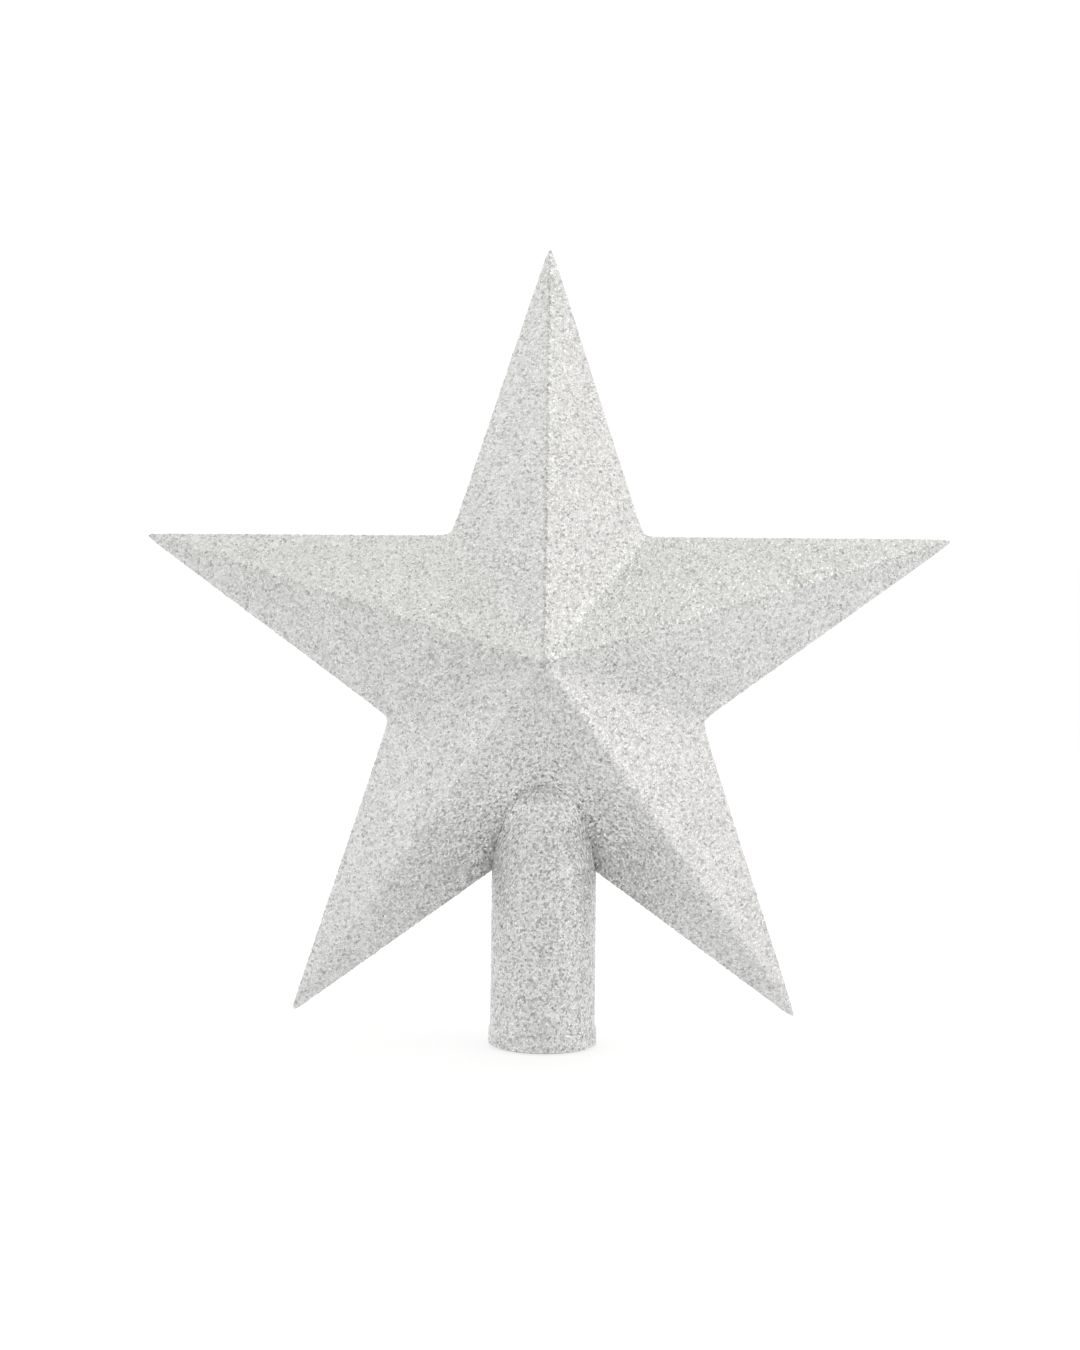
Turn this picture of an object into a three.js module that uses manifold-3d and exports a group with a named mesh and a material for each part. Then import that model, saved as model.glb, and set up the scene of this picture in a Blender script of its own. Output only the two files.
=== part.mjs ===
// Glittered five-pointed star that sits on top of a Christmas tree.
//
// Two moulded half shells, each a shallow dish of ten sloping facets, are welded
// face to face round their edge. A blind round socket is glued into arched
// cut-outs between the two lower arms, and the tree's top shoot goes up into it.
// The outside is dusted with silver glitter over a thin coat of adhesive.
//
// Millimetres, +Z up. The star stands in the XZ plane with its front towards -Y,
// and the origin is the centre of the socket's mouth.

import * as THREE from 'three';
import { mergeVertices } from 'three/addons/utils/BufferGeometryUtils.js';
import Module from 'manifold-3d';

// Star
const tipRadius = 101.2;                    // centre to the meeting point of an arm's edges
const armCount = 5;
const valleyRatio = 0.382;                  // a true five-pointed star
const tipRounding = 0.65;                   // radius of the blunt end of each arm
const halfDepth = 29.5;                     // seam plane to the middle of a face
const rimBand = 0.9;                        // straight edge beside the seam, on each side
const centreHeight = 88;                    // star's centre above the socket's mouth
const wall = 1.3;                           // moulded wall of the shells

// Socket
const socketRadius = 12.2;                  // over the glitter
const socketHeight = 61;
const socketWall = 1.3;
const shoulderDepth = 3;                    // rounded closed end: how far it comes in,
const shoulderHeight = 5;                   // and over what height
const lipHeight = 3.8;
const lipStep = 0.4;                        // the lip's extra radius
const boreDraft = 0.6;                      // the bore is this much wider at the mouth
const socketSides = 56;

// Glitter, glue and the room between pieces
const coat = 0.35;
const gap = 0.3;
const glueWidth = 1.4;
const seamBeadHeight = 1.6;

// Locating pegs, one in each arm
const pegPlace = 56;                        // from the star's centre, along the arm
const pegRadius = 1.5;
const pegReach = 2.4;                       // how far a peg enters its boss
const bossRadius = 2.9;
const bossSink = 1;
const pegSides = 14;

const wasm = await Module();
wasm.setup();

const armAngle = Math.PI / armCount;
// Distance from the star's centre to the line of an arm's edge, and to a facet's plane.
const edgeDistance = tipRadius * Math.sin(Math.PI / 2 - 2 * armAngle);
const facetDistance = edgeDistance * halfDepth / Math.hypot(edgeDistance, halfDepth - rimBand);
// Every facet lies at that distance, so a star scaled about its centre is the same
// star with all its faces moved in by one amount.
const scaleFor = (inset) => 1 - inset / facetDistance;

function solidFrom(geometry) {
  const bare = geometry.clone();
  bare.deleteAttribute('normal');
  bare.deleteAttribute('uv');
  const welded = mergeVertices(bare, 1e-4);
  return new wasm.Manifold(new wasm.Mesh({
    numProp: 3,
    vertProperties: new Float32Array(welded.attributes.position.array),
    triVerts: new Uint32Array(welded.index.array),
  }));
}

function geometryFrom(solid) {
  const mesh = solid.getMesh();
  const geometry = new THREE.BufferGeometry();
  geometry.setAttribute('position', new THREE.BufferAttribute(mesh.vertProperties, 3));
  geometry.setIndex(new THREE.BufferAttribute(mesh.triVerts, 1));
  return geometry;
}

// Outline of the star in its own plane, with the arms' ends rounded by an arc.
function starOutline() {
  const outline = [];
  const halfTip = Math.PI / 2 - 2 * armAngle;
  const arcCentre = tipRadius - tipRounding / Math.sin(halfTip);
  const sweep = Math.PI / 2 - halfTip;
  const arcSteps = 4;
  for (let arm = 0; arm < armCount; arm += 1) {
    const direction = Math.PI / 2 + arm * 2 * armAngle;
    const along = new THREE.Vector2(Math.cos(direction), Math.sin(direction));
    for (let step = 0; step <= arcSteps; step += 1) {
      const turn = direction + sweep * (2 * step / arcSteps - 1);
      outline.push(new THREE.Vector2(
        along.x * arcCentre + tipRounding * Math.cos(turn),
        along.y * arcCentre + tipRounding * Math.sin(turn),
      ));
    }
    const valley = direction + armAngle;
    outline.push(new THREE.Vector2(
      tipRadius * valleyRatio * Math.cos(valley),
      tipRadius * valleyRatio * Math.sin(valley),
    ));
  }
  return outline;
}

// One half of the star as a solid, its faces moved in by inset. side is -1 for the
// front half and 1 for the back half, and the flat face lies at the depth start.
function halfStar(inset, side, start) {
  const scale = scaleFor(inset);
  const outline = starOutline().map((point) => point.multiplyScalar(scale));
  const count = outline.length;
  const positions = [];
  for (const level of [start, rimBand * scale]) {
    for (const point of outline) {
      positions.push(point.x, side * level, point.y);
    }
  }
  const apex = 2 * count;
  const base = apex + 1;
  positions.push(0, side * halfDepth * scale, 0);
  positions.push(0, side * start, 0);
  const index = [];
  const face = (a, b, c) => index.push(...(side < 0 ? [a, b, c] : [a, c, b]));
  for (let i = 0; i < count; i += 1) {
    const next = (i + 1) % count;
    face(count + i, count + next, apex);
    face(i, next, count + next);
    face(i, count + next, count + i);
    face(next, i, base);
  }
  const geometry = new THREE.BufferGeometry();
  geometry.setAttribute('position', new THREE.Float32BufferAttribute(positions, 3));
  geometry.setIndex(index);
  geometry.translate(0, 0, centreHeight);
  return solidFrom(geometry);
}

// Outer shape of the socket as [radius, height] points, moved out by offset.
function socketProfile(offset, foot) {
  const body = socketRadius - coat - gap + offset;
  const top = socketHeight - coat - gap + offset;
  const profile = [
    [0, foot],
    [body + lipStep, foot],
    [body + lipStep, lipHeight],
    [body, lipHeight + lipStep],
  ];
  const arcSteps = 7;
  for (let step = 0; step <= arcSteps; step += 1) {
    const turn = (Math.PI / 2) * (step / arcSteps);
    profile.push([
      body - shoulderDepth * (1 - Math.cos(turn)),
      top - shoulderHeight * (1 - Math.sin(turn)),
    ]);
  }
  profile.push([0, top]);
  return profile;
}

function turned(profile) {
  const points = profile.map(([radius, height]) => new THREE.Vector2(radius, height));
  const geometry = new THREE.LatheGeometry(points, socketSides);
  geometry.rotateX(Math.PI / 2);
  return solidFrom(geometry);
}

const socketEnvelope = (offset, foot = -1) => turned(socketProfile(offset, foot));

function pegOrBoss(radius, from, to, arm) {
  const direction = Math.PI / 2 + arm * 2 * armAngle;
  const geometry = new THREE.CylinderGeometry(radius, radius, to - from, pegSides);
  geometry.translate(
    pegPlace * Math.cos(direction),
    (from + to) / 2,
    centreHeight + pegPlace * Math.sin(direction),
  );
  return solidFrom(geometry);
}

// Depth of the middle of a shell's wall below the ridge of an arm, where the pegs stand.
const pegRoot = halfDepth * (scaleFor(coat + gap + wall / 2) - pegPlace / tipRadius);

// The front shell's pegs start inside its wall and cross the seam plane.
function addPegs(shell) {
  let joined = shell;
  for (let arm = 0; arm < armCount; arm += 1) {
    joined = joined.add(pegOrBoss(pegRadius, -pegRoot, pegReach, arm));
  }
  return joined;
}

// The back shell's bosses stop at the seam plane, each with a blind hole for a peg.
// A boss is wide, so it starts lower down than a peg does, where the roof still covers it.
function addBosses(shell) {
  const bossRoot = pegRoot - bossSink;
  let joined = shell;
  for (let arm = 0; arm < armCount; arm += 1) {
    joined = joined
      .add(pegOrBoss(bossRadius, gap / 2, bossRoot, arm))
      .subtract(pegOrBoss(pegRadius + gap, 0, pegReach + gap, arm));
  }
  return joined;
}

function shell(side) {
  const outside = halfStar(coat + gap, side, gap / 2);
  const hollow = halfStar(coat + gap + wall, side, 0);
  return outside.subtract(hollow).subtract(socketEnvelope(gap));
}

function glitterCoat(side) {
  const outside = halfStar(0, side, gap / 2);
  const backing = halfStar(coat, side, 0);
  return outside.subtract(backing).subtract(socketEnvelope(coat + 2 * gap));
}

function socketTube() {
  const outer = socketEnvelope(0, 0);
  const boreTop = socketHeight - coat - gap - socketWall;
  const boreRadius = socketRadius - coat - gap - socketWall;
  const bore = turned([
    [0, -1],
    [boreRadius + boreDraft, -1],
    [boreRadius, boreTop - shoulderHeight],
    [boreRadius - shoulderDepth, boreTop],
    [0, boreTop],
  ]);
  return outer.subtract(bore);
}

// Glitter on the socket only where the socket shows outside the star.
function socketCoat() {
  const sleeve = socketEnvelope(coat + gap, gap).subtract(socketEnvelope(gap));
  const clear = halfStar(-gap, -1, 0).add(halfStar(-gap, 1, 0));
  return sleeve.subtract(clear);
}

// Bead of glue inside the star, in the corner between a shell and the socket.
function socketGlue(side) {
  const inner = coat + gap + wall + gap;
  const besideShell = halfStar(inner, side, gap).subtract(halfStar(inner + glueWidth, side, 0));
  const besideSocket = socketEnvelope(gap + glueWidth).subtract(socketEnvelope(gap));
  return besideShell.intersect(besideSocket);
}

// Weld bead that runs round the inside of the seam, and stops short of the socket.
function seamBead() {
  const inner = coat + gap + wall + gap;
  const room = 3 * tipRadius;
  const slabShape = new THREE.BoxGeometry(room, seamBeadHeight, room);
  const slab = solidFrom(slabShape.translate(0, 0, centreHeight));
  const whole = (inset) => halfStar(inset, -1, 0).add(halfStar(inset, 1, 0));
  const loop = whole(inner).subtract(whole(inner + glueWidth)).intersect(slab);
  return loop.subtract(socketEnvelope(3 * gap + glueWidth));
}

const silverPlastic = { color: 0xc9cbca, roughness: 0.42, metalness: 0.1 };
const clearGlue = { color: 0xe4e2d8, roughness: 0.25, metalness: 0 };
const silverGlitter = { color: 0xd3d6d4, roughness: 0.35, metalness: 0.85 };

function part(name, solid, finish) {
  const mesh = new THREE.Mesh(geometryFrom(solid), new THREE.MeshStandardMaterial(finish));
  mesh.name = name;
  return mesh;
}

const star = new THREE.Group();
star.add(
  part('front_shell', addPegs(shell(-1)), silverPlastic),
  part('back_shell', addBosses(shell(1)), silverPlastic),
  part('socket_tube', socketTube(), silverPlastic),
  part('seam_weld_bead', seamBead(), clearGlue),
  part('socket_glue_front', socketGlue(-1), clearGlue),
  part('socket_glue_back', socketGlue(1), clearGlue),
  part('front_glitter_coat', glitterCoat(-1), silverGlitter),
  part('back_glitter_coat', glitterCoat(1), silverGlitter),
  part('socket_glitter_coat', socketCoat(), silverGlitter),
);

export default star;
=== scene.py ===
import math

import bpy
import numpy as np
from mathutils import Matrix, Vector
from mathutils.geometry import delaunay_2d_cdt


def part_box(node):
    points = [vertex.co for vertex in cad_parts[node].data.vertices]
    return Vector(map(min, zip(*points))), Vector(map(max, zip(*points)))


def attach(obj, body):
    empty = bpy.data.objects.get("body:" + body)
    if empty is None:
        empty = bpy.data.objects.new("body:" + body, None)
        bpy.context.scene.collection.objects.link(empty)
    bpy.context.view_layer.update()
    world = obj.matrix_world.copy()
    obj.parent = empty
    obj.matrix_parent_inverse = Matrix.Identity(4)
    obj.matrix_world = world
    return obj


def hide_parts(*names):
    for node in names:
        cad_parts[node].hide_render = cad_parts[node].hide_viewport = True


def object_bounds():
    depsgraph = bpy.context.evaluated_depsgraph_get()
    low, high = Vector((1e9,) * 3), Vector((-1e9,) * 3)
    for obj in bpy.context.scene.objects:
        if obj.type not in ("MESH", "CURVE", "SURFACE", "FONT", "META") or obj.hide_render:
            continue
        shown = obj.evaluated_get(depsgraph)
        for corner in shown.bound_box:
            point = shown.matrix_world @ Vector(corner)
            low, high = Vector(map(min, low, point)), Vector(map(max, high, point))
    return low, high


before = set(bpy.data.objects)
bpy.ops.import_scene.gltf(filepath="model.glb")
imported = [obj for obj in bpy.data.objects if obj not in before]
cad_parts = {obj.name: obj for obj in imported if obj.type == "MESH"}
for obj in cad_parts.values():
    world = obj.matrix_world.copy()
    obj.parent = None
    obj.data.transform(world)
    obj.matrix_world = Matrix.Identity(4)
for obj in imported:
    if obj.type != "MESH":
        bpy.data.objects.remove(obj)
cad_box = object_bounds()

# A glittered star for the top of a tree, with a round socket below it. Every length is in
# metres. The star stands in the XZ plane with its front towards -Y, and the origin is the
# middle of the socket's mouth.

# The star, as the CAD makes it
ARMS = 5
TIP_HALF_ANGLE = math.radians(18)
TIP_ROUNDING = 0.00065
RIM_BAND = 0.0009            # straight edge beside the seam, on each side
SEAM_GAP = 0.00015           # from the seam plane to each shell's edge
CAD_GAP = 0.0003             # between one piece and the next

# The socket's outer shape, as the CAD makes it
SHOULDER_DEPTH = 0.003
SHOULDER_HEIGHT = 0.005
SHOULDER_STEPS = 12
LIP_HEIGHT = 0.0038
LIP_STEP = 0.0004

# How softly the coated facets meet, as shares of the way from the middle to the edge
RIDGE_SOFTNESS = 0.030
VALLEY_SOFTNESS = 0.040
PEAK_SOFTNESS = 0.020

# Shape of the glitter
COAT = 0.00035
FLAKE = 0.00047              # across one flake
ROW_HEIGHT = math.sqrt(3) / 2    # of a row of flakes on the star, in flakes
SLEEVE_ROW_HEIGHT = 0.87     # of a row of flakes on the socket, in flakes
STRAY = 0.3                  # how far flakes' corners are from an even pattern, in flakes
TILT_HEIGHT = 0.000052       # how far a flake's corner stands up or down
PROUD_SHARE = 0.08           # corners of flakes that stand on edge
PROUD_HEIGHT = 0.00014       # how far the highest of those stand up
PROUD_LEAST = 0.3            # the lowest of them, as a share of the highest
SLEEVE_INNER_ROWS = 14       # rows of larger faces inside the socket's coat
SEED = 41

# How finely edges, contacts and slopes are found
OUTLINE_RAYS = 20001
ARCH_RAYS = 801
HALVINGS = 40
CONTACT_STEPS = 1500
CONTACT_START = 0.030        # along the socket's profile, a place that is below the star
SLOPE_STEP = 0.00005         # to each side of a place, over which its slope is taken
MERGE_DISTANCE = 1e-7        # corners closer than this become one
TRIANGLES_INSIDE_BORDER = 1  # what delaunay_2d_cdt is asked for

# How far apart the flakes' shades are spread: 0 not at all, 1 most. This speckle is partly
# the glitter's own random tone
# and partly painted light: painted reflection on facets that look down and on the socket, and
# painted shade and light in the socket's crease
CREASE_PAINTED_LIGHT_REACH = 0.012         # how far the speckle's painted crease shade and light reach
UNDERSIDE_PAINTED_REFLECTION = 0.5
SOCKET_SPECKLE_AND_PAINTED_LIGHT = 0.5

# The crease between star and socket: painted shade darkens the glitter at its sides, and on
# the socket painted light brightens its top
PAINTED_SHADE_REACH = 0.0018
CREASE_PAINTED_SHADE = 0.17
PAINTED_LIGHT_REACH = 0.005
SOCKET_PAINTED_LIGHT = 0.45
PAINTED_LIGHT_HEIGHT = 0.014        # how far below the socket's top the brightness ends

# Round the middle of a face, painted shade darkens facets that look down and painted light
# brightens those that look up
MIDDLE_PAINTED_LIGHT = 0.12
MIDDLE_PAINTED_LIGHT_REACH = 0.014

# Colours, as shares of the light that comes back
WHITE = (1, 1, 1)
SILVER_TINT = (1.0, 0.995, 0.983)
# Each pair is a share of all flakes and the shade which that many are no brighter than
FLAKE_SHADES = [(0.0, 0.42), (0.12, 0.60), (0.5, 0.70), (0.9, 0.755), (1.0, 0.81)]
GAP_SHADE = 0.74             # of the line between two flakes
GAP_WIDTH = 0.16             # of half that line, in flakes
PATCH_COLOUR = (0.95, 0.95, 0.952)
PATCHES_PER_METRE = 130
COARSE_DARK_SHARE = 0.05     # of flakes that are fully darkened where the speckle is strongest
COARSE_LIGHT_SHARE = 0.3     # the flakes beyond this share are fully lightened
SMOOTHEST_FLAKE = 0.26       # roughness
ROUGHEST_FLAKE = 0.5
FLOW_MARKS_PER_METRE = 60    # in moulded plastic
GRAIN_STRENGTH = 0.15
GRAIN_HEIGHT = 0.0002


# ---- Shape of the star and the socket ----------------------------------------------

def soft_max(first, second, softness):
    """The larger of two values, rounded off where they are close."""
    return (first + second + np.hypot(first - second, softness)) / 2


def lengths_along(line):
    """The length along a line of points from its start to each of them."""
    steps = np.linalg.norm(np.diff(line, axis=0), axis=1)
    return np.concatenate([[0], np.cumsum(steps)])


class Star:
    """The outer surface of the star, measured from the box of its CAD glitter coat.

    Places on it are x and z from the star's centre, in the seam plane."""

    def __init__(self, low, high):
        height = high[2] - low[2]
        arc_centre = (height - 2 * TIP_ROUNDING) / (1 + math.sin(3 * TIP_HALF_ANGLE))
        self.centre_z = high[2] - TIP_ROUNDING - arc_centre
        self.tip = arc_centre + TIP_ROUNDING / math.sin(TIP_HALF_ANGLE)
        self.edge = self.tip * math.sin(TIP_HALF_ANGLE)
        self.depth = -low[1]

    def fraction(self, x, z):
        """How far from the middle, 0, to the outline, 1, the facets are at a place.

        At a ridge the further out of two facets counts, and in a valley the nearer."""
        pitch = 2 * math.pi / ARMS
        from_ridge = np.abs((np.arctan2(z, x) - math.pi / 2 + pitch / 2) % pitch - pitch / 2)
        to_edge = math.pi / 2 - TIP_HALF_ANGLE
        reach = np.hypot(x, z) / self.edge
        own = reach * np.cos(to_edge - from_ridge)
        over_ridge = reach * np.cos(to_edge + from_ridge)
        over_valley = reach * np.cos(from_ridge)
        arm = soft_max(own, over_ridge, RIDGE_SOFTNESS)
        return -soft_max(-arm, -over_valley, VALLEY_SOFTNESS)

    def depth_at(self, x, z):
        """How far the front facets stand in front of the seam plane at a place. It goes on
        falling outside the outline, and is negative further out."""
        inward = 1 - np.hypot(self.fraction(x, z), PEAK_SOFTNESS)
        return RIM_BAND + (self.depth - RIM_BAND) * inward

    def normals_at(self, x, z):
        """Unit normals of the front facets at places."""
        step = SLOPE_STEP
        across = (self.depth_at(x - step, z) - self.depth_at(x + step, z)) / (2 * step)
        up = (self.depth_at(x, z - step) - self.depth_at(x, z + step)) / (2 * step)
        normals = np.stack([across, np.full(len(x), -1.0), up], 1)
        return normals / np.linalg.norm(normals, axis=1)[:, None]


class Socket:
    """The outer surface of the socket over its glitter, measured from its CAD coat.

    The height of its closed end comes from the tube, because the coat stops below it."""

    def __init__(self, coat_box, tube_box):
        low, high = coat_box
        self.radius = high[0] - LIP_STEP
        self.foot = low[2]
        self.top = tube_box[1][2] + COAT + CAD_GAP
        points = [
            (self.radius + LIP_STEP, self.foot),
            (self.radius + LIP_STEP, LIP_HEIGHT),
            (self.radius, LIP_HEIGHT + LIP_STEP),
        ]
        for step in range(SHOULDER_STEPS + 1):
            turn = math.pi / 2 * step / SHOULDER_STEPS
            points.append((
                self.radius - SHOULDER_DEPTH * (1 - math.cos(turn)),
                self.top - SHOULDER_HEIGHT * (1 - math.sin(turn)),
            ))
        points.append((0, self.top))
        self.profile = np.array(points)
        self.reach = lengths_along(self.profile)

    def at(self, length):
        """Radius and height at a length along the profile from its foot."""
        return (
            np.interp(length, self.reach, self.profile[:, 0]),
            np.interp(length, self.reach, self.profile[:, 1]),
        )

    def radius_at(self, height):
        """Radius at a height, zero above the closed end."""
        inside = np.interp(height, self.profile[:-1, 1], self.profile[:-1, 0])
        return np.where(height > self.top, 0, inside)


star = Star(*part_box("front_glitter_coat"))
socket = Socket(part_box("socket_glitter_coat"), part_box("socket_tube"))
centre = Vector((0, 0, star.centre_z))


# ---- What both kinds of glitter need -----------------------------------------------

def make_mesh(name, points, triangles, speckle_and_painted_light, shade):
    """A flat-shaded mesh object from arrays of points and triangles, with the glitter's
    speckle and painted light, and its painted shade and light, at each of its first points;
    the rest are even and unshaded."""
    mesh = bpy.data.meshes.new(name)
    mesh.from_pydata(points.tolist(), [], triangles.tolist())
    for label, given, default in (("speckle_and_painted_light", speckle_and_painted_light, 0), ("shade", shade, 1)):
        values = np.full(len(points), default, np.float32)
        values[:len(given)] = given
        mesh.attributes.new(label, "FLOAT", "POINT").data.foreach_set("value", values)
    mesh.update()
    piece = bpy.data.objects.new(name, mesh)
    bpy.context.scene.collection.objects.link(piece)
    return piece


def flake_heights(count, rng):
    """Random heights of the flakes' corners over the coat, a few of them on edge."""
    height = rng.normal(0, TILT_HEIGHT, count)
    proud = rng.random(count) < PROUD_SHARE
    height[proud] += rng.uniform(PROUD_LEAST, 1, proud.sum()) * PROUD_HEIGHT
    return height


def painted_crease_light(height, distance, painted_light):
    """How bright painted shade and light make the glitter, against 1 far from the socket, at
    a height and at a distance from the crease where star and socket meet.

    Painted shade darkens the crease's sides, and painted light makes its top brighter than 1
    by painted_light."""
    side = np.clip((socket.top - height) / PAINTED_LIGHT_HEIGHT, 0, 1)
    distance = np.maximum(distance, 0)
    dark = CREASE_PAINTED_SHADE * side * np.exp(-distance / PAINTED_SHADE_REACH)
    return 1 - dark + painted_light * (1 - side) * np.exp(-distance / PAINTED_LIGHT_REACH)


# ---- Glitter on the star -----------------------------------------------------------

def far_edge(inside, origin, angles, limit):
    """Places where rays from an origin leave a region, found by halving."""
    rays = np.stack([np.cos(angles), np.sin(angles)], 1)
    low = np.zeros(len(angles))
    high = np.full(len(angles), limit)
    for _ in range(HALVINGS):
        middle = (low + high) / 2
        x, z = (origin + rays * middle[:, None]).T
        within = inside(x, z)
        low = np.where(within, middle, low)
        high = np.where(within, high, middle)
    return origin + rays * low[:, None]


def evenly_spaced(line, spacing):
    """A line of places again, with its points about one spacing apart."""
    reach = lengths_along(line)
    places = np.linspace(0, reach[-1], round(reach[-1] / spacing) + 1)
    return np.stack([np.interp(places, reach, line[:, k]) for k in (0, 1)], 1)


def in_socket(x, z):
    """Whether the facets at a place are inside the socket."""
    depth = np.maximum(star.depth_at(x, z), 0)
    return np.hypot(x, depth) < socket.radius_at(z + star.centre_z)


def star_border():
    """Places round one face: the outline from the right of the socket to its left, then
    the arch over the socket back to the start. Also how many are on the outline."""
    angles = np.linspace(-math.pi / 2, 3 * math.pi / 2, OUTLINE_RAYS)
    outline = far_edge(lambda x, z: star.fraction(x, z) < 1, np.zeros(2), angles, star.tip)
    outline = outline[~in_socket(outline[:, 0], outline[:, 1])]
    outline = evenly_spaced(outline, FLAKE)
    first_height = outline[0, 1]
    sweep = np.linspace(math.pi, 0, ARCH_RAYS)
    arch = far_edge(in_socket, np.array([0, first_height]), sweep, star.edge)
    arch = evenly_spaced(arch, FLAKE)
    return np.concatenate([outline, arch[1:-1]]), len(outline)


def scattered(rng):
    """Places all over one face, about one flake apart, clear of its border."""
    columns = np.arange(-star.tip, star.tip, FLAKE)
    rows = np.arange(-star.tip, star.tip, FLAKE * ROW_HEIGHT)
    x, z = np.meshgrid(columns, rows)
    x = x + (np.arange(len(rows)) % 2)[:, None] * FLAKE / 2
    x = (x + rng.uniform(-STRAY, STRAY, x.shape) * FLAKE).ravel()
    z = (z + rng.uniform(-STRAY, STRAY, z.shape) * FLAKE).ravel()
    margin = FLAKE / 2
    radius = socket.radius_at(z + star.centre_z) + margin
    clear = np.hypot(x, np.maximum(star.depth_at(x, z), 0)) > radius
    clear &= star.fraction(x, z) < 1 - margin / star.edge
    return np.stack([x[clear], z[clear]], 1)


def face_skin(border, rng):
    """Places of the flakes' corners on one face, first those of its border, and the
    triangles between them."""
    places = np.concatenate([border, scattered(rng)])
    corners = [Vector(place) for place in places.tolist()]
    loop = np.arange(len(border))
    links = np.stack([loop, np.roll(loop, -1)], 1).tolist()
    mesh = delaunay_2d_cdt(corners, links, [], TRIANGLES_INSIDE_BORDER, MERGE_DISTANCE)
    return np.array(mesh[0]), np.array(mesh[2])


def face_back(surface, normals, outline_count):
    """Points round the back of the coat's edge: on the outline at the seam, and round the
    arch one coat behind the surface."""
    back = surface - normals * COAT
    back[:, 1] = np.minimum(back[:, 1], -SEAM_GAP)
    back[:outline_count, 1] = -SEAM_GAP
    return back


def closing_triangles(skin_count, border_count):
    """Triangles from the skin's border over the rim band to the back's edge, and from
    there to one last point, which close a face behind."""
    skin_loop = np.arange(border_count)
    after = np.roll(skin_loop, -1)
    band_loop = skin_count + skin_loop
    back_loop = band_loop + border_count
    last = np.full(border_count, skin_count + 2 * border_count)
    triangles = []
    for near, far in ((skin_loop, band_loop), (band_loop, back_loop)):
        triangles.append(np.stack([near, far, far[after]], 1))
        triangles.append(np.stack([near, far[after], near[after]], 1))
    triangles.append(np.stack([back_loop, last, back_loop[after]], 1))
    return np.concatenate(triangles)


def from_socket(points):
    """How far points of the star are from the socket."""
    x, y, height = points.T
    beside = np.hypot(x, y) - socket.radius_at(np.minimum(height, socket.top))
    return np.hypot(np.maximum(beside, 0), np.maximum(height - socket.top, 0))


def face_speckle_and_painted_light(points, normals):
    """How far apart the flakes' shades are spread at points of the star, 0 to 1: painted
    reflection on facets that look down, and painted shade and light near the socket.
    """
    underside = UNDERSIDE_PAINTED_REFLECTION * np.maximum(-normals[:, 2], 0)
    return underside + (1 - underside) * np.exp(-from_socket(points) / CREASE_PAINTED_LIGHT_REACH)


def face_painted_light(places, points, normals):
    """How bright painted shade and light make the glitter at points of the star, given their
    places in its plane.
    """
    x, z = places.T
    crease = painted_crease_light(points[:, 2], from_socket(points), painted_light=0)
    middle = MIDDLE_PAINTED_LIGHT * normals[:, 2] * np.exp(-np.hypot(x, z) / MIDDLE_PAINTED_LIGHT_REACH)
    return crease * (1 + middle)


def glitter_face(name, side, seed):
    """One glittered face of the star: faceted outside, a rim, and a plain back.

    side is -1 for the front and 1 for the back."""
    rng = np.random.default_rng(seed)
    border, outline_count = star_border()
    count = len(border)
    places, skin = face_skin(border, rng)
    x, z = places.T
    normals = star.normals_at(x, z)
    surface = np.stack([x, -star.depth_at(x, z), z], 1)
    outer = surface + normals * flake_heights(len(surface), rng)[:, None]
    back = face_back(surface[:count], normals[:count], outline_count)
    band = outer[:count].copy()
    band[:, 1] = back[:, 1]
    last = np.array([[0, -star.depth + 2 * COAT, 0]])
    points = np.concatenate([outer, band, back, last])
    points[:, 2] += star.centre_z
    triangles = np.concatenate([skin, closing_triangles(len(outer), count)])
    speckle_and_painted_light = face_speckle_and_painted_light(points[:len(outer)], normals)
    shade = face_painted_light(places, points[:len(outer)], normals)
    if side > 0:
        points[:, 1] *= -1
        triangles = triangles[:, ::-1]
    return make_mesh(name, points, triangles, speckle_and_painted_light, shade)


# ---- Glitter on the socket ---------------------------------------------------------

def contact_length(angle):
    """How far up the socket's profile its surface goes into the star, at an angle."""
    lengths = np.linspace(CONTACT_START, socket.reach[-1], CONTACT_STEPS)
    radius, height = socket.at(lengths)
    x = radius * math.cos(angle)
    depth = abs(radius * math.sin(angle))
    hidden = star.depth_at(x, height - star.centre_z) > depth
    return lengths[hidden].min()


def ring(radius, turn, height):
    """Points round the socket's axis."""
    return np.stack([radius * np.cos(turn), radius * np.sin(turn), height], 1)


def sleeve_outside(angles, top, rows, rng):
    """Rings of flakes' corners up the outside of the sleeve, to its top at each angle.

    Every second ring is half a flake round from the others. The first and last ring are
    even, so that the sleeve's edges are smooth."""
    around = len(angles)
    rings = []
    for row in range(rows + 1):
        at_end = row in (0, rows)
        sway = 0 if at_end else rng.uniform(-STRAY, STRAY, around)
        turn = angles + math.pi / around * (row % 2) + sway * 2 * math.pi / around
        rise = 0 if at_end else rng.uniform(-STRAY, STRAY, around)
        limit = np.interp(turn, angles, top, period=2 * math.pi)
        radius, height = socket.at((row + rise) / rows * limit)
        rings.append(ring(radius + flake_heights(around, rng), turn, height))
    return rings


def sleeve_inside(angles, top, rows):
    """Rings down the plain inside of the sleeve, which turn back on the way down by the
    half flake that the outside's last ring may be round from its first."""
    rings = []
    for row in range(SLEEVE_INNER_ROWS + 1):
        above = 1 - row / SLEEVE_INNER_ROWS
        turn = angles + math.pi / len(angles) * (rows % 2) * above
        limit = np.interp(turn, angles, top, period=2 * math.pi)
        radius, height = socket.at(above * limit)
        rings.append(ring(radius - COAT, turn, height))
    return rings


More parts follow.
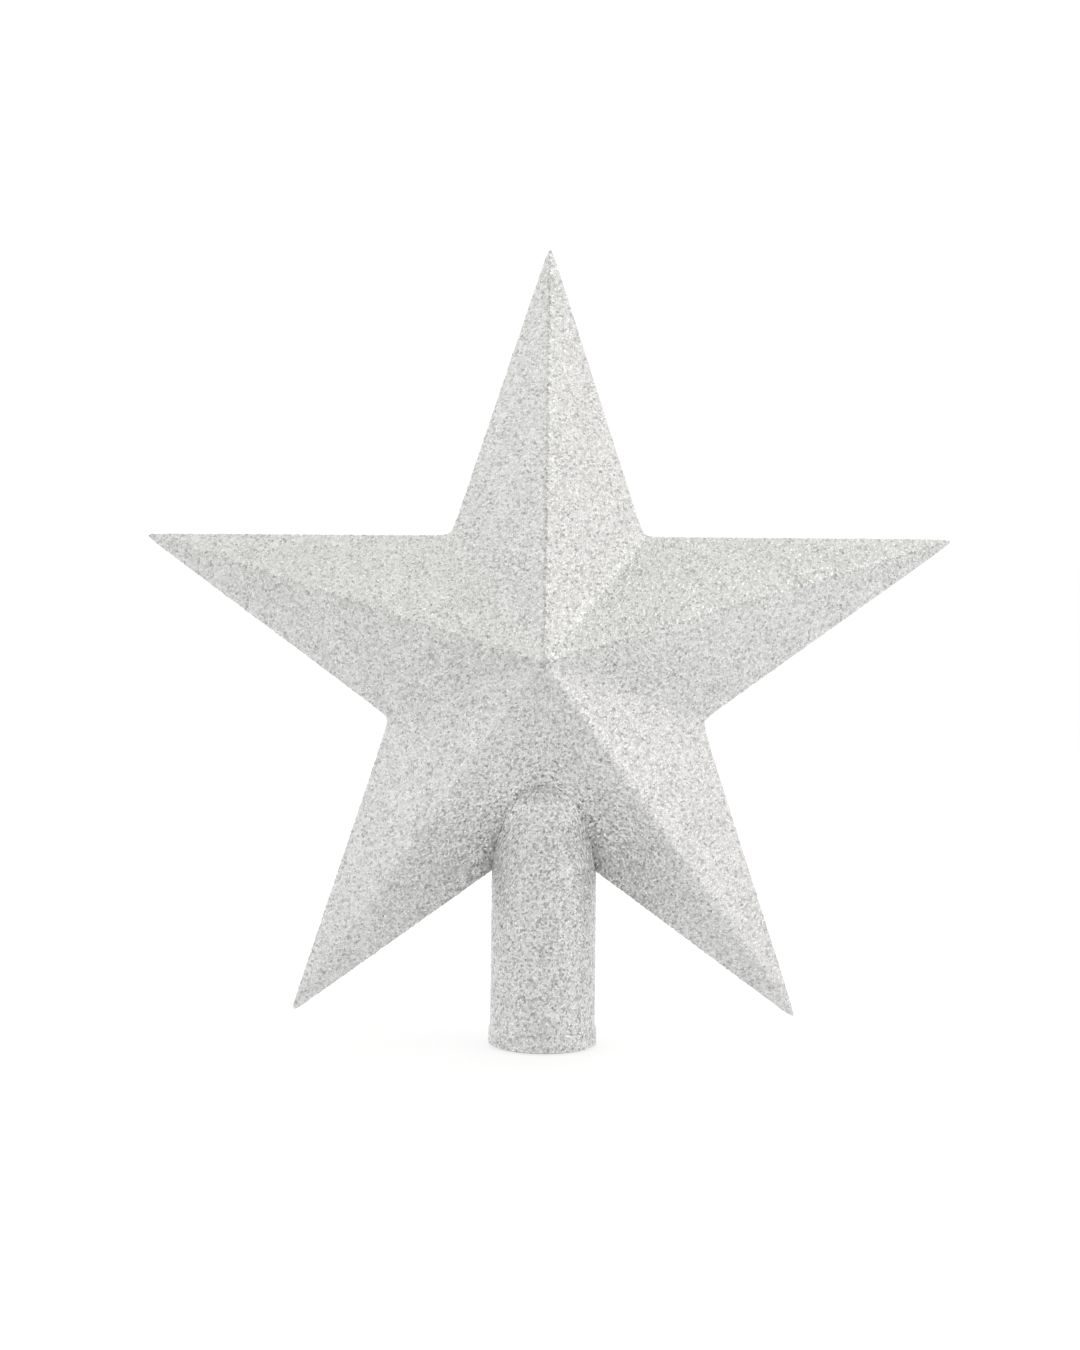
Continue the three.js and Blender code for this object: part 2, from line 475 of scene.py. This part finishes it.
def sleeve_triangles(around, outer_rings, all_rings):
    """Triangles from each ring to the next, and from the last one back to the first. The
    outer rings with odd numbers are half a flake on, so they are joined the other way."""
    triangles = []
    column = np.arange(around)
    after = (column + 1) % around
    for row in range(all_rings):
        here = row * around
        there = (row + 1) % all_rings * around
        half_flake_on = row < outer_rings and row % 2
        if half_flake_on:
            triangles.append(np.stack([here + column, here + after, there + after], 1))
            triangles.append(np.stack([here + column, there + after, there + column], 1))
        else:
            triangles.append(np.stack([here + column, here + after, there + column], 1))
            triangles.append(np.stack([here + after, there + after, there + column], 1))
    return np.concatenate(triangles)


def glitter_sleeve(name, seed):
    """The glittered outside of the socket, up to where it goes into the star."""
    rng = np.random.default_rng(seed)
    around = round(2 * math.pi * socket.radius / FLAKE)
    angles = 2 * math.pi * np.arange(around) / around
    top = np.array([contact_length(angle) for angle in angles])
    rows = round(top.max() / (FLAKE * SLEEVE_ROW_HEIGHT))
    outside = sleeve_outside(angles, top, rows, rng)
    inside = sleeve_inside(angles, top, rows)
    triangles = sleeve_triangles(around, len(outside), len(outside) + len(inside))
    x, y, height = np.concatenate(outside).T
    distance = np.abs(y) - star.depth_at(x, height - star.centre_z)
    # Painted shade at the crease's sides and painted light at its top
    shade = painted_crease_light(height, distance, SOCKET_PAINTED_LIGHT)
    # Even speckle over the socket, partly its own random tone and partly painted reflection
    speckle_and_painted_light = np.full(len(shade), SOCKET_SPECKLE_AND_PAINTED_LIGHT)
    return make_mesh(name, np.concatenate(outside + inside), triangles, speckle_and_painted_light, shade)


# ---- Shader nodes ------------------------------------------------------------------

def new_material(name):
    """A material with a Principled shader, its node tree and its shader."""
    material = bpy.data.materials.new(name)
    material.use_nodes = True
    tree = material.node_tree
    return material, tree, tree.nodes["Principled BSDF"]


def grey(level):
    """A colour without a tint."""
    return (level, level, level)


def coordinates(tree, kind):
    """Coordinates of a kind, Object or Generated."""
    return tree.nodes.new("ShaderNodeTexCoord").outputs[kind]


def split_place(tree, place):
    """The X, Y and Z of a place, as outputs with those names."""
    split = tree.nodes.new("ShaderNodeSeparateXYZ")
    tree.links.new(place, split.inputs["Vector"])
    return split.outputs


def ramp(tree, factor, stops):
    """A colour ramp driven by an output, with (place, (r, g, b)) stops."""
    node = tree.nodes.new("ShaderNodeValToRGB")
    elements = node.color_ramp.elements
    while len(elements) < len(stops):
        elements.new(0.5)
    for element, (place, colour) in zip(elements, stops):
        element.position = place
        element.color = (*colour, 1)
    tree.links.new(factor, node.inputs["Fac"])
    return node.outputs["Color"]


def multiplied(tree, colour, by, factor=1.0):
    """A colour multiplied by another, as far as factor says; factor can be an output.

    A Mix node's sockets share their names between data types, so they go by number."""
    node = tree.nodes.new("ShaderNodeMix")
    node.data_type = "RGBA"
    node.blend_type = "MULTIPLY"
    factor_input, first_input, second_input, result_output = 0, 6, 7, 2
    if isinstance(factor, bpy.types.NodeSocket):
        tree.links.new(factor, node.inputs[factor_input])
    else:
        node.inputs[factor_input].default_value = factor
    tree.links.new(colour, node.inputs[first_input])
    tree.links.new(by, node.inputs[second_input])
    return node.outputs[result_output]


def flake_cells(tree, place, feature):
    """Cells the size of flakes over a place."""
    node = tree.nodes.new("ShaderNodeTexVoronoi")
    node.feature = feature
    node.inputs["Scale"].default_value = 1 / FLAKE
    tree.links.new(place, node.inputs["Vector"])
    return node.outputs


def noise(tree, place, scale, detail):
    """Soft noise from 0 to 1, with scale waves to the metre."""
    node = tree.nodes.new("ShaderNodeTexNoise")
    node.inputs["Scale"].default_value = scale
    node.inputs["Detail"].default_value = detail
    tree.links.new(place, node.inputs["Vector"])
    return node.outputs["Fac"]


def attribute(tree, label):
    """A value that the mesh holds at each point."""
    node = tree.nodes.new("ShaderNodeAttribute")
    node.attribute_name = label
    return node.outputs["Fac"]


def smooth_step(tree, source, start, end, low, high):
    """A value that goes smoothly from low to high as source goes from start to end."""
    level = tree.nodes.new("ShaderNodeMapRange")
    level.interpolation_type = "SMOOTHSTEP"
    level.inputs["From Min"].default_value = start
    level.inputs["From Max"].default_value = end
    level.inputs["To Min"].default_value = low
    level.inputs["To Max"].default_value = high
    tree.links.new(source, level.inputs["Value"])
    return level.outputs["Result"]


def product(tree, first, second):
    """Two values multiplied."""
    node = tree.nodes.new("ShaderNodeMath")
    node.operation = "MULTIPLY"
    tree.links.new(first, node.inputs[0])
    tree.links.new(second, node.inputs[1])
    return node.outputs["Value"]


# ---- Materials ---------------------------------------------------------------------

def silver_glitter(name, stretch, brightness, coarse_dark, coarse_light):
    """Cut polyester flakes, each its own shade of silver, with darker gaps between them.

    stretch squeezes the pattern along Y, so that flakes on steep facets aren't cut thin.
    Where the mesh's speckle_and_painted_light is high, a few flakes are darkened to
    coarse_dark times their shade and the others are lightened to coarse_light times: speckle
    that also paints reflection and crease shade and light. The mesh's shade attribute
    multiplies in painted shade and light."""
    material, tree, shader = new_material(name)
    mapping = tree.nodes.new("ShaderNodeMapping")
    mapping.inputs["Scale"].default_value = (1, stretch, 1)
    source = coordinates(tree, "Object")
    tree.links.new(source, mapping.inputs["Vector"])
    place = mapping.outputs["Vector"]
    chance = tree.nodes.new("ShaderNodeSeparateColor")     # three random values per flake
    tree.links.new(flake_cells(tree, place, "F1")["Color"], chance.inputs["Color"])

    shades = [
        (share, tuple(brightness * shade * part for part in SILVER_TINT))
        for share, shade in FLAKE_SHADES
    ]
    colour = ramp(tree, chance.outputs["Red"], shades)
    edge = flake_cells(tree, place, "DISTANCE_TO_EDGE")["Distance"]
    gaps = ramp(tree, edge, [(0.0, grey(GAP_SHADE)), (GAP_WIDTH, WHITE)])
    colour = multiplied(tree, colour, gaps)
    patchiness = noise(tree, source, PATCHES_PER_METRE, detail=3)
    patches = ramp(tree, patchiness, [(0.3, PATCH_COLOUR), (0.7, WHITE)])
    colour = multiplied(tree, colour, patches)
    coarse_stops = [
        (COARSE_DARK_SHARE, grey(coarse_dark)),
        (COARSE_LIGHT_SHARE, grey(coarse_light)),
    ]
    coarse = ramp(tree, chance.outputs["Blue"], coarse_stops)
    # Speckle where the mesh asks for it: partly random tone, partly painted reflection and
    # crease shade and light
    colour = multiplied(tree, colour, coarse, attribute(tree, "speckle_and_painted_light"))
    # Painted shade and light from the mesh's shade attribute
    colour = multiplied(tree, colour, attribute(tree, "shade"))
    tree.links.new(colour, shader.inputs["Base Color"])

    rough = tree.nodes.new("ShaderNodeMapRange")
    rough.inputs["To Min"].default_value = SMOOTHEST_FLAKE
    rough.inputs["To Max"].default_value = ROUGHEST_FLAKE
    tree.links.new(chance.outputs["Green"], rough.inputs["Value"])
    tree.links.new(rough.outputs["Result"], shader.inputs["Roughness"])
    shader.inputs["Metallic"].default_value = 1.0
    return material


def star_silver():
    """Glitter on the star."""
    return silver_glitter(
        "star_glitter", stretch=0.35, brightness=1.0, coarse_dark=0.52, coarse_light=1.25
    )


def socket_silver():
    """Glitter on the socket, a little darker and more uneven."""
    return silver_glitter(
        "socket_glitter", stretch=1.0, brightness=0.90, coarse_dark=0.50, coarse_light=1.50
    )


def moulded_plastic(name, dark, light, roughness, grain):
    """Moulded plastic with a faint flow pattern and a fine satin grain."""
    material, tree, shader = new_material(name)
    place = coordinates(tree, "Object")
    flow = noise(tree, place, FLOW_MARKS_PER_METRE, detail=4)
    tree.links.new(ramp(tree, flow, [(0.3, dark), (0.7, light)]), shader.inputs["Base Color"])
    bump = tree.nodes.new("ShaderNodeBump")
    bump.inputs["Strength"].default_value = GRAIN_STRENGTH
    bump.inputs["Distance"].default_value = GRAIN_HEIGHT
    tree.links.new(noise(tree, place, grain, detail=3), bump.inputs["Height"])
    tree.links.new(bump.outputs["Normal"], shader.inputs["Normal"])
    shader.inputs["Roughness"].default_value = roughness
    return material


def silver_plastic():
    """The plastic of the shells and the socket."""
    dark = (0.50, 0.51, 0.52)
    light = (0.62, 0.63, 0.63)
    return moulded_plastic("silver_plastic", dark, light, roughness=0.38, grain=900)


def clear_glue():
    """Set glue, and plastic melted by the weld."""
    dark = (0.72, 0.70, 0.62)
    light = (0.84, 0.83, 0.77)
    return moulded_plastic("clear_glue", dark, light, roughness=0.25, grain=400)


def floor_white():
    """Dull white that glows, a little more on the right."""
    material, tree, shader = new_material("floor_white")
    shader.inputs["Base Color"].default_value = (0.3, 0.3, 0.3, 1)
    shader.inputs["Roughness"].default_value = 0.9
    shader.inputs["Emission Color"].default_value = (1, 1, 1, 1)
    across = split_place(tree, coordinates(tree, "Object"))["X"]
    glow = smooth_step(tree, across, start=-0.05, end=0.12, low=0.68, high=0.75)
    tree.links.new(glow, shader.inputs["Emission Strength"])
    return material


# ---- The object --------------------------------------------------------------------

def clothe(nodes, material):
    """Gives CAD nodes a better material."""
    for node in nodes:
        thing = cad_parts[node]
        thing.data.materials.clear()
        thing.data.materials.append(material)


flakes = star_silver()
PIECES = [
    (glitter_face("front_glitter", -1, SEED), "front_glitter_coat", flakes),
    (glitter_face("back_glitter", 1, SEED + 1), "back_glitter_coat", flakes),
    (glitter_sleeve("socket_glitter", SEED + 2), "socket_glitter_coat", socket_silver()),
]
for piece, node, glitter in PIECES:
    piece.data.materials.append(glitter)
    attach(piece, "root")
    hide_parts(node)

clothe(("front_shell", "back_shell", "socket_tube"), silver_plastic())
clothe(("seam_weld_bead", "socket_glue_front", "socket_glue_back"), clear_glue())


# ---- Floor, light and camera -------------------------------------------------------

def floor(half, drop):
    """A wide square floor just under the socket's rim."""
    mesh = bpy.data.meshes.new("floor")
    corners = [(-half, -half, 0), (half, -half, 0), (half, half, 0), (-half, half, 0)]
    mesh.from_pydata(corners, [], [(0, 1, 2, 3)])
    thing = bpy.data.objects.new("floor", mesh)
    thing.location.z = cad_box[0][2] - drop
    bpy.context.scene.collection.objects.link(thing)
    mesh.materials.append(floor_white())


def softbox(name, offset, size, power, colour):
    """A square area light at an offset from the star's centre, pointing at it."""
    light = bpy.data.lights.new(name, "AREA")
    light.shape = "SQUARE"
    light.size = size
    light.energy = power
    light.color = colour
    thing = bpy.data.objects.new(name, light)
    thing.location = centre + Vector(offset)
    aim = centre - thing.location
    thing.rotation_euler = aim.to_track_quat("-Z", "Y").to_euler()
    thing.visible_camera = False
    bpy.context.scene.collection.objects.link(thing)


def surroundings():
    """White light from all round: brighter on the left and overhead, dimmer in front of
    the star, and faintly green overhead."""
    world = bpy.data.worlds.new("studio")
    bpy.context.scene.world = world
    world.use_nodes = True
    tree = world.node_tree
    background = tree.nodes["Background"]
    direction = split_place(tree, coordinates(tree, "Generated"))
    left = smooth_step(tree, direction["X"], start=-0.9, end=0.0, low=1.15, high=1.0)
    front = smooth_step(tree, direction["Y"], start=-0.95, end=-0.2, low=0.66, high=1.0)
    overhead = smooth_step(tree, direction["Z"], start=0.0, end=0.9, low=1.0, high=1.16)
    level = product(tree, product(tree, left, front), overhead)
    tree.links.new(level, background.inputs["Strength"])
    faint_green = (0.985, 1.0, 0.965)
    colour = ramp(tree, direction["Z"], [(0.3, WHITE), (1.0, faint_green)])
    tree.links.new(colour, background.inputs["Color"])


def camera(aim, distance, azimuth, elevation, roll, lens):
    """The camera, looking at aim from a distance; azimuth 0 looks along +Y."""
    turn = math.radians(azimuth)
    tilt = math.radians(elevation)
    forward = Vector((
        math.sin(turn) * math.cos(tilt),
        math.cos(turn) * math.cos(tilt),
        -math.sin(tilt),
    ))
    data = bpy.data.cameras.new("camera")
    data.lens = lens
    data.sensor_width = 36
    data.clip_start = 0.01
    thing = bpy.data.objects.new("camera", data)
    upright = forward.to_track_quat("-Z", "Y").to_matrix()
    rotation = upright @ Matrix.Rotation(math.radians(roll), 3, "Z")
    thing.matrix_world = Matrix.Translation(aim - distance * forward) @ rotation.to_4x4()
    bpy.context.scene.collection.objects.link(thing)
    bpy.context.scene.camera = thing


floor(half=4.0, drop=0.0002)
surroundings()
softbox("side_key", (0.60, -0.10, 0.18), size=0.5, power=0.31, colour=(1.0, 0.955, 0.935))
softbox("top_key", (0.50, -0.30, 0.75), size=0.5, power=0.58, colour=(1.0, 0.99, 0.97))
camera(
    aim=centre + Vector((-0.0014, 0, -0.0015)),
    distance=0.3643,
    azimuth=-1.17,
    elevation=-1.66,
    roll=0.585,
    lens=41.07,
)
bpy.context.scene.view_settings.view_transform = "Standard"
